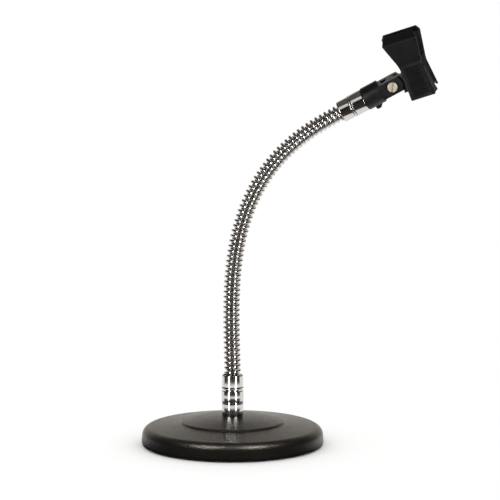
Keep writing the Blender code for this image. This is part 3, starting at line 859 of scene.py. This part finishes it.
def neck_end_frame():
    """Z along the end of the neck, from the visible end of the coil, and Y as in the world."""
    x, z, lean = neck_at(PITCH * TURNS - TUCK)
    return Matrix.Translation((x * MM, 0, z * MM)) @ Matrix.Rotation(lean, 4, "Y")


def build_upper_fittings(place):
    ferrule = [(9.7, 10.8, 0.5), (9.7, 0.0, 1.1), (8.2, 0.0, 0.4), (8.2, 10.8, 0.2)]
    mesh = lathe("head_ferrule", ferrule)
    stand_in("head_ferrule", mesh, "chrome", "upper_ferrule", place)
    mesh = lathe("head_ring", tube_corners(10.2, 8.2, 11.1, 12.5, 0.4))
    stand_in("head_ring", mesh, "chrome", "upper_ring", place)
    coupler = [
        (0, 37.2),
        *threaded(THREAD, 37.2, UPPER_COUPLER_TOP),
        (THREAD - 1.0, UPPER_COUPLER_TOP),
        (10.0, UPPER_COUPLER_TOP, 0.6),
        (10.0, 12.8, 0.6),
        (7.9, 12.8),
        (7.9, 7.1, 0.3),
        (0, 7.1),
    ]
    mesh = lathe("head_coupler", coupler)
    stand_in("head_coupler", mesh, "chrome", "upper_coupler", place)


# ---------------------------------------------------------------- swivel socket


def socket_frame(neck_end):
    """X along the socket away from the neck, Y along the tilt screw away from the viewer."""
    reach = UPPER_COUPLER_TOP + SOCKET_GAP - SOCKET_MOUTH
    to_x = Matrix.Rotation(-math.pi / 2, 4, "Y")
    lift = Matrix.Translation((0, 0, reach * MM))
    return neck_end @ lift @ to_x @ Matrix.Rotation(CLIP_ROLL, 4, "X")


def arc(radius, start, end, count):
    """Points (x, z) on an arc about the tilt screw, by angle from X."""
    points = []
    for i in range(count + 1):
        angle = start + (end - start) * i / count
        points.append((radius * math.cos(angle), radius * math.sin(angle)))
    return points


def build_socket(place):
    reach = math.asin(EAR_HALF_HEIGHT / EAR_RADIUS)
    outline = [(SOCKET_STEP, -EAR_HALF_HEIGHT), *arc(EAR_RADIUS, -reach, reach, 32)]
    outline.append((SOCKET_STEP, EAR_HALF_HEIGHT))
    fork = turn_to_y(plate_mesh("swivel_fork", [outline], -FORK_HALF, FORK_HALF))
    barrel_corners = [
        (0, SOCKET_STEP + 0.2),
        (SOCKET_RADIUS - 0.1, SOCKET_STEP + 0.2),
        (SOCKET_RADIUS - 0.1, SOCKET_MOUTH, 0.7),
        (0, SOCKET_MOUTH),
    ]
    barrel = lathe("swivel_barrel", barrel_corners)
    barrel.transform(Matrix.Rotation(math.pi / 2, 4, "Y"))
    lug_outline = [
        (-21.9, -SOCKET_RADIUS + 1.5),
        (-21.9, -SOCKET_RADIUS - 1.7),
        (-20.9, -SOCKET_RADIUS - 2.5),
        (-17.9, -SOCKET_RADIUS - 2.5),
        (-13.9, -SOCKET_RADIUS + 1.5),
    ]
    lug = turn_to_y(plate_mesh("swivel_lug", [lug_outline], -2.0, 2.0))
    slot = FORK_SLOT_HALF
    tall = EAR_RADIUS + 3
    nut_floor = FORK_HALF - 0.6 - 3.2
    steps = [
        ("UNION", barrel),
        ("UNION", lug),
        ("DIFFERENCE", rod_mesh("mouth", SOCKET_BORE, SOCKET_MOUTH - 2, SOCKET_BORE_END, "X")),
        ("DIFFERENCE", block_mesh("slot", (SLOT_FLOOR, -slot, -tall), (tall, slot, tall))),
        ("DIFFERENCE", rod_mesh("counterbore", 5.3, -FORK_HALF - 2, -FORK_HALF + 3.6, "Y")),
        ("DIFFERENCE", rod_mesh("nut_pocket", 5.0, nut_floor, FORK_HALF + 2, "Y", 6)),
        ("DIFFERENCE", rod_mesh("screw_way", 2.7, -FORK_HALF - 2, FORK_HALF + 2, "Y")),
    ]
    mesh = combined("swivel_socket", fork, steps)
    stand_in("swivel_socket", mesh, "clip_plastic", "clip_socket", place)
    insert = [
        (9.0, SOCKET_MOUTH + 14.1, 0.3),
        (9.0, SOCKET_MOUTH + 0.8, 0.3),
        (THREAD_BORE, SOCKET_MOUTH + 0.8, 0.3),
        (THREAD_BORE, SOCKET_MOUTH + 14.1, 0.3),
    ]
    mesh = lathe("thread_insert", insert)
    mesh.transform(Matrix.Rotation(math.pi / 2, 4, "Y"))
    stand_in("thread_insert", mesh, "brass", "socket_insert", place)


def build_tilt_fasteners(place):
    to_y = Matrix.Rotation(-math.pi / 2, 4, "X")
    washer_face = -FORK_HALF + 3.3
    head_seat = washer_face - 1.0
    head_face = head_seat - 2.2
    washer = lathe("head_washer", tube_corners(4.8, 2.7, washer_face - 0.7, washer_face, 0.2))
    washer.transform(to_y)
    stand_in("head_washer", washer, "nickel", "tilt_washer", place)
    head = [
        (0, FORK_HALF - 0.6),
        (2.4, FORK_HALF - 0.6, 0.3),
        (2.4, head_seat),
        (4.5, head_seat, 0.3),
        (4.5, head_face, 0.7),
        (0, head_face),
    ]
    screw = lathe("slotted_screw", head, 64)
    screw.transform(to_y)
    slot = block_mesh("slot", (-6.0, head_face - 1, -0.65), (6.0, head_face + 1.6, 0.65))
    slot.transform(Matrix.Rotation(math.radians(-55), 4, "Y"))
    screw = combined("slotted_screw", screw, [("DIFFERENCE", slot)])
    stand_in("slotted_screw", screw, "nickel", "tilt_screw", place)
    nut = hex_nut_mesh("tilt_lock_nut", 4.6, 2.7, FORK_HALF - 3.5, FORK_HALF - 0.3)
    nut.transform(to_y)
    stand_in("tilt_lock_nut", nut, "nickel", "tilt_nut", place)


# ---------------------------------------------------------------- clip


def ends_at(height, side):
    """The start and end along X of a half shell at a height."""
    for low, high in zip(SHELL_ENDS, SHELL_ENDS[1:]):
        if height <= high[0]:
            break
    mix = min(max((height - low[0]) / (high[0] - low[0]), 0.0), 1.0)
    start, end = (a + (b - a) * mix for a, b in zip(low[1:], high[1:]))
    if side > 0:
        end += FAR_EXTRA * min((height + 26.0) / 40.0, 1.0)
    return start, end


def shell_points():
    """The half shell's outline, finely divided where the grip ribs are, as (point, rib height)."""
    plain = rounded(SHELL_OUTLINE)
    pitch = (RIB_TOP - RIB_FOOT) / RIB_COUNT
    points = []
    for here, after in zip(plain, plain[1:] + plain[:1]):
        points.append((here, 0.0))
        outer_handle = here.x > 6.5 and after.x > here.x and (after - here).length > 10
        if not outer_handle:
            continue
        steps = RIB_COUNT * 8
        for k in range(1, steps):
            spot = here.lerp(after, k / steps)
            if not RIB_FOOT <= spot.y <= RIB_TOP:
                continue
            phase = (spot.y - RIB_FOOT) / pitch
            points.append((spot, RIB_HEIGHT * math.sin(math.pi * phase) ** 2))
    return points


def shell_mesh(name, side):
    """One half of the clip, with drafted and rounded ends and ribs on its handle. side is -1
    for the near half, 1 for the far."""
    points = shell_points()
    count = len(points)
    inward = []
    for i in range(count):
        run = points[(i + 1) % count][0] - points[i - 1][0]
        inward.append(Vector((run.y, -run.x)).normalized())
    area = sum(a.x * b.y - b.x * a.y for (a, _), (b, _) in zip(points, points[1:] + points[:1]))
    if area > 0:
        inward = [-direction for direction in inward]
    edge = SHELL_EDGE
    steps = 4
    slices = []
    for i in range(steps + 1):
        angle = math.pi / 2 * i / steps
        slices.append((edge * (1 - math.cos(angle)), edge * (1 - math.sin(angle)), 0.0))
    for depth, ribs in ((1.4, 0.0), (RIB_MARGIN, 0.0), (RIB_MARGIN + 0.5, 1.0)):
        slices.append((depth, 0.0, ribs))
    shape = bmesh.new()
    rows = []
    for end in (False, True):
        for depth, inset, ribs in reversed(slices) if end else slices:
            row = []
            for (spot, rib), direction in zip(points, inward):
                moved = spot + direction * inset - direction * rib * ribs
                low, high = ends_at(moved.y, side)
                x = high - depth if end else low + depth
                row.append(shape.verts.new((x * MM, side * moved.x * MM, moved.y * MM)))
            rows.append(row)
    for low, high in zip(rows, rows[1:]):
        bridge(shape, low, high)
    shape.faces.new(rows[0])
    shape.faces.new(rows[-1])
    return mesh_of(name, shape, math.radians(40))


def end_wall_mesh(side):
    """The wedge-shaped wall that closes a handle's end, leaning out towards its free edge."""
    mesh = plate_mesh("end_wall", [[(side * y, z) for y, z in END_WALL]], -1.0, 1.0)
    for vertex in mesh.vertices:
        y = abs(vertex.co.y) / MM
        z = vertex.co.z / MM
        depth = 6.6 + 13.6 * (12.4 - z) / 26.8 - y
        outside = ends_at(z, side)[1] - 0.5 + 0.3 * depth
        vertex.co.x = (outside if vertex.co.x > 0 else outside - 1.6) * MM
    return mesh


def hinge_outline(side):
    """A hinge lug in (Y, Z): round about the pin, with an arm into its half shell."""
    points = []
    steps = 24
    for i in range(steps + 1):
        angle = math.pi * (0.5 + i / steps)
        y = -side * HINGE_RADIUS * math.cos(angle + math.pi)
        points.append((y, HINGE_RADIUS * math.sin(angle)))
    points.append((side * 5.4, -HINGE_RADIUS))
    points.append((side * 5.4, HINGE_RADIUS))
    return [(y, z + PIN_HEIGHT) for y, z in points]


def hinge_meshes(side, starts):
    hole = circle(1.8, 32, (0.0, PIN_HEIGHT))
    outlines = [hinge_outline(side), hole]
    return [plate_mesh(f"hinge_{start}", outlines, start, start + HINGE_WIDTH) for start in starts]


def tongue_mesh():
    """The tongue between the ears: a round knuckle about the screw, running into the web."""
    quarter = math.pi / 2
    outline = [*arc(7.0, quarter, 3 * quarter, 40), (11.7, -7.0), (11.7, 7.0)]
    return turn_to_y(plate_mesh("tongue", [outline, circle(2.7)], -3.6, 3.6))


def web_mesh():
    """The web behind the tongue, hollowed around the ears, and widening into the near half."""
    reach = math.asin(6.8 / 11.2)
    outline = [(16.5, 6.8), (16.5, -6.8), *arc(11.2, -reach, reach, 30)]
    mesh = turn_to_y(plate_mesh("web", [outline], -1.0, 1.0))
    for vertex in mesh.vertices:
        mix = (12.4 - vertex.co.z / MM) / (12.4 + 14.9)
        near = -(5.4 + 13.6 * max(mix, 0.0))
        vertex.co.y = (3.1 if vertex.co.y > 0 else near) * MM
    return mesh


def build_clip(place):
    near = [shell_mesh("near_shell", -1), end_wall_mesh(-1), web_mesh(), tongue_mesh()]
    near.extend(hinge_meshes(-1, NEAR_HINGES))
    stand_in("near_jaw", merged("near_jaw", near), "clip_plastic", "clip_body", place)
    far = [shell_mesh("far_shell", 1), end_wall_mesh(1), *hinge_meshes(1, FAR_HINGES)]
    stand_in("far_jaw", merged("far_jaw", far), "clip_plastic", "clip_lever", place)


def build_jaw_hinge(place):
    pin = lathe(
        "hinge_pin",
        [(0, 30.9), (PIN_RADIUS, 30.9, 0.4), (PIN_RADIUS, 10.9, 0.4), (0, 10.9)],
        48,
    )
    pin.transform(Matrix.Rotation(math.pi / 2, 4, "Y"))
    pin.transform(Matrix.Translation((0, 0, PIN_HEIGHT * MM)))
    stand_in("hinge_pin", pin, "nickel", "jaw_pin", place)


def spring_path():
    """Down one leg, around the pin, and down the other leg."""
    splay = math.radians(20)
    leg = Vector((0, math.sin(splay), math.cos(splay))) * 20.0
    turns = 4
    count = 24 * turns
    sweep = 2 * math.pi * turns - (math.pi - 2 * splay)
    coil = []
    for i in range(count + 1):
        angle = math.pi - splay - sweep * i / count
        y = 2.5 * math.cos(angle)
        z = PIN_HEIGHT + 2.5 * math.sin(angle)
        coil.append(Vector((17.9 + 1.6 * turns * i / count, y, z)))
    near_leg = [coil[0] + Vector((0, -leg.y, -leg.z)) * k / 10 for k in range(10, 0, -1)]
    far_leg = [coil[-1] + Vector((0, leg.y, -leg.z)) * k / 10 for k in range(1, 11)]
    return near_leg + coil + far_leg


def build_spring(place):
    """The torsion spring, baked in place: its near leg and its far leg ride on no body."""
    path = spring_path()
    aims = [Vector((1, 0, 0))] * len(path)
    mesh = wire_mesh("torsion_spring", path, aims, 0.5, 12, (True, True))
    piece = add_piece("torsion_spring", mesh, "nickel", place)
    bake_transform(piece)
    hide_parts("jaw_spring")


# ---------------------------------------------------------------- floor, light and camera


def smooth_step(tree, value, low, high):
    node = tree.nodes.new("ShaderNodeMapRange")
    node.interpolation_type = "SMOOTHSTEP"
    node.inputs["From Min"].default_value = low
    node.inputs["From Max"].default_value = high
    tree.links.new(value, node.inputs["Value"])
    return node.outputs["Result"]


def joined(tree, operation, first, second):
    """One value from two, each a number or another node's output."""
    node = tree.nodes.new("ShaderNodeMath")
    node.operation = operation
    for slot, value in zip(node.inputs, (first, second)):
        if isinstance(value, bpy.types.NodeSocket):
            tree.links.new(value, slot)
        else:
            slot.default_value = value
    return node.outputs["Value"]


def build_floor():
    """A white floor. In mirror reflections its colour is painted: painted shade makes its front
    dark, standing in for the unlit side of a room, but for a pale band a hand's length away."""
    shape = bmesh.new()
    bmesh.ops.create_circle(shape, cap_ends=True, segments=64, radius=30.0)
    floor = bpy.data.objects.new("floor", mesh_of("floor", shape))
    bpy.context.scene.collection.objects.link(floor)
    floor.location.z = -0.0003
    made, tree, shader = finish("white_paper")
    shader_input(tree, shader, "Roughness", 0.9)
    shader_input(tree, shader, "Specular IOR Level", 0.1)
    # Painted shade: for glossy rays the floor's colour is painted dark, except behind the stand and in
    # a pale band about 0.2 to 0.33 m from its axis that the chrome mirrors.
    where = tree.nodes.new("ShaderNodeNewGeometry")
    split = tree.nodes.new("ShaderNodeSeparateXYZ")
    tree.links.new(where.outputs["Position"], split.inputs["Vector"])
    behind = smooth_step(tree, split.outputs["Y"], -0.04, 0.04)
    away = add_node(tree, "ShaderNodeVectorMath")
    away.operation = "LENGTH"
    tree.links.new(where.outputs["Position"], away.inputs[0])
    band = joined(
        tree,
        "MULTIPLY",
        smooth_step(tree, away.outputs["Value"], 0.33, 0.26),
        smooth_step(tree, away.outputs["Value"], 0.20, 0.21),
    )
    near = joined(tree, "MAXIMUM", behind, joined(tree, "MULTIPLY", band, 1.0))
    path = tree.nodes.new("ShaderNodeLightPath")
    seen = tree.nodes.new("ShaderNodeMath")
    seen.operation = "MAXIMUM"
    direct = tree.nodes.new("ShaderNodeMath")
    direct.operation = "SUBTRACT"
    direct.inputs[0].default_value = 1.0
    tree.links.new(path.outputs["Is Glossy Ray"], direct.inputs[1])
    tree.links.new(direct.outputs["Value"], seen.inputs[0])
    tree.links.new(near, seen.inputs[1])
    # The dark colour is painted shade, seen only in reflections; camera and diffuse rays see the
    # floor's own white.
    colour = colour_between(tree, seen.outputs["Value"], (0.03, 0.025, 0.022), (0.86, 0.86, 0.855))
    shader_input(tree, shader, "Base Color", colour)
    floor.data.materials.append(made)


def build_world():
    """White behind the stand and for soft light. In reflections the room in front is dark and
    the backdrop behind is pale."""
    world = bpy.data.worlds.new("studio")
    bpy.context.scene.world = world
    world.use_nodes = True
    world.cycles.sampling_method = "NONE"
    tree = world.node_tree
    where = tree.nodes.new("ShaderNodeTexCoord")
    back = tree.nodes.new("ShaderNodeVectorMath")
    back.operation = "DOT_PRODUCT"
    back.inputs[1].default_value = (-math.sin(CAMERA_AZIMUTH), math.cos(CAMERA_AZIMUTH), 0)
    tree.links.new(where.outputs["Generated"], back.inputs[0])
    behind = smooth_step(tree, back.outputs["Value"], 0.50, 0.97)
    room = colour_between(tree, behind, (0.020, 0.015, 0.013), (0.84, 0.80, 0.73))
    split = tree.nodes.new("ShaderNodeSeparateXYZ")
    tree.links.new(where.outputs["Generated"], split.inputs["Vector"])
    high = smooth_step(tree, split.outputs["Z"], 0.30, 0.95)
    mirrored = tree.nodes.new("ShaderNodeMix")
    mirrored.data_type = "RGBA"
    mirrored.inputs["B"].default_value = (0.12, 0.115, 0.11, 1)
    tree.links.new(high, mirrored.inputs["Factor"])
    tree.links.new(room, mirrored.inputs["A"])
    path = tree.nodes.new("ShaderNodeLightPath")
    pick = tree.nodes.new("ShaderNodeMix")
    pick.data_type = "RGBA"
    pick.inputs["A"].default_value = (1.22, 1.22, 1.22, 1)
    tree.links.new(path.outputs["Is Glossy Ray"], pick.inputs["Factor"])
    tree.links.new(mirrored.outputs["Result"], pick.inputs["B"])
    final = tree.nodes.new("ShaderNodeMix")
    final.data_type = "RGBA"
    final.inputs["B"].default_value = (1, 1, 1, 1)
    tree.links.new(path.outputs["Is Camera Ray"], final.inputs["Factor"])
    tree.links.new(pick.outputs["Result"], final.inputs["A"])
    tree.links.new(final.outputs["Result"], tree.nodes["Background"].inputs["Color"])


def add_panel(name, turn, away, rise, size, power, receivers):
    """A soft panel that faces the stand's axis and shows only in some pieces' reflections."""
    data = bpy.data.lights.new(name, "AREA")
    data.shape = "RECTANGLE"
    data.size, data.size_y = size
    data.energy = power * size[0] * size[1]
    lamp = bpy.data.objects.new(name, data)
    bpy.context.scene.collection.objects.link(lamp)
    azimuth = CAMERA_AZIMUTH + turn
    out = Vector((math.sin(azimuth), -math.cos(azimuth), 0))
    lamp.location = out * away + Vector((0, 0, rise))
    lamp.rotation_mode = "QUATERNION"
    lamp.rotation_quaternion = out.to_track_quat("Z", "Y")
    lamp.visible_camera = False
    lamp.visible_diffuse = False
    group = bpy.data.collections.new(name)
    for piece in receivers:
        group.objects.link(piece)
    lamp.light_linking.receiver_collection = group
    return lamp


def aim_panel(panel, spot):
    panel.rotation_quaternion = (panel.location - spot).to_track_quat("Z", "Y")


def build_lights(place):
    """A tall soft strip each side of the camera, low strips that the chrome at the foot of the
    neck mirrors, and panels above for the base's rim and for the chrome at the neck's top."""
    foot = [bpy.data.objects[name] for name in FOOT_CHROME]
    top = [bpy.data.objects[name] for name in TOP_CHROME]
    casting = bpy.data.objects["weighted_base"]
    others = [piece for piece in bpy.context.scene.objects if piece.type == "MESH"]
    others.remove(casting)
    for i, turn in enumerate(STRIP_TURNS):
        add_panel(f"strip_{i}", turn, 1.0, 0.36, (0.2, 0.66), 49.0, others)
        add_panel(f"low_strip_{i}", turn, 0.17, 0.04, (0.03, 0.075), 28.0, foot)
        panel = add_panel(f"rim_panel_{i}", turn, 0.68, 0.8, (0.28, 0.3), 110.0, [casting])
        aim_panel(panel, Vector())
    panel = add_panel("head_panel", math.radians(-32), 0.75, 0.80, (0.6, 0.35), 2.6, top)
    aim_panel(panel, place.to_translation())


def build_camera():
    data = bpy.data.cameras.new("camera")
    data.lens = CAMERA_LENS
    data.sensor_width = 36.0
    camera = bpy.data.objects.new("camera", data)
    bpy.context.scene.collection.objects.link(camera)
    level = math.cos(CAMERA_ELEVATION)
    away = Vector(
        (
            math.sin(CAMERA_AZIMUTH) * level,
            -math.cos(CAMERA_AZIMUTH) * level,
            math.sin(CAMERA_ELEVATION),
        )
    )
    camera.location = Vector(CAMERA_TARGET) + away * CAMERA_DISTANCE
    camera.rotation_mode = "QUATERNION"
    camera.rotation_quaternion = away.to_track_quat("Z", "Y")
    data.clip_end = 60.0
    bpy.context.scene.camera = camera


# ---------------------------------------------------------------- assembly


build_base()
build_base_fastening()
build_lower_fittings()
build_neck()
neck_end = neck_end_frame()
build_upper_fittings(neck_end)
socket_place = socket_frame(neck_end)
build_socket(socket_place)
build_tilt_fasteners(socket_place)
clip_place = socket_place @ Matrix.Rotation(CLIP_TILT, 4, "Y")
build_clip(clip_place)
build_jaw_hinge(clip_place)
build_spring(clip_place)
finish_kept_nodes()
build_floor()
build_world()
build_lights(neck_end)
build_camera()
bpy.context.scene.view_settings.view_transform = "Standard"
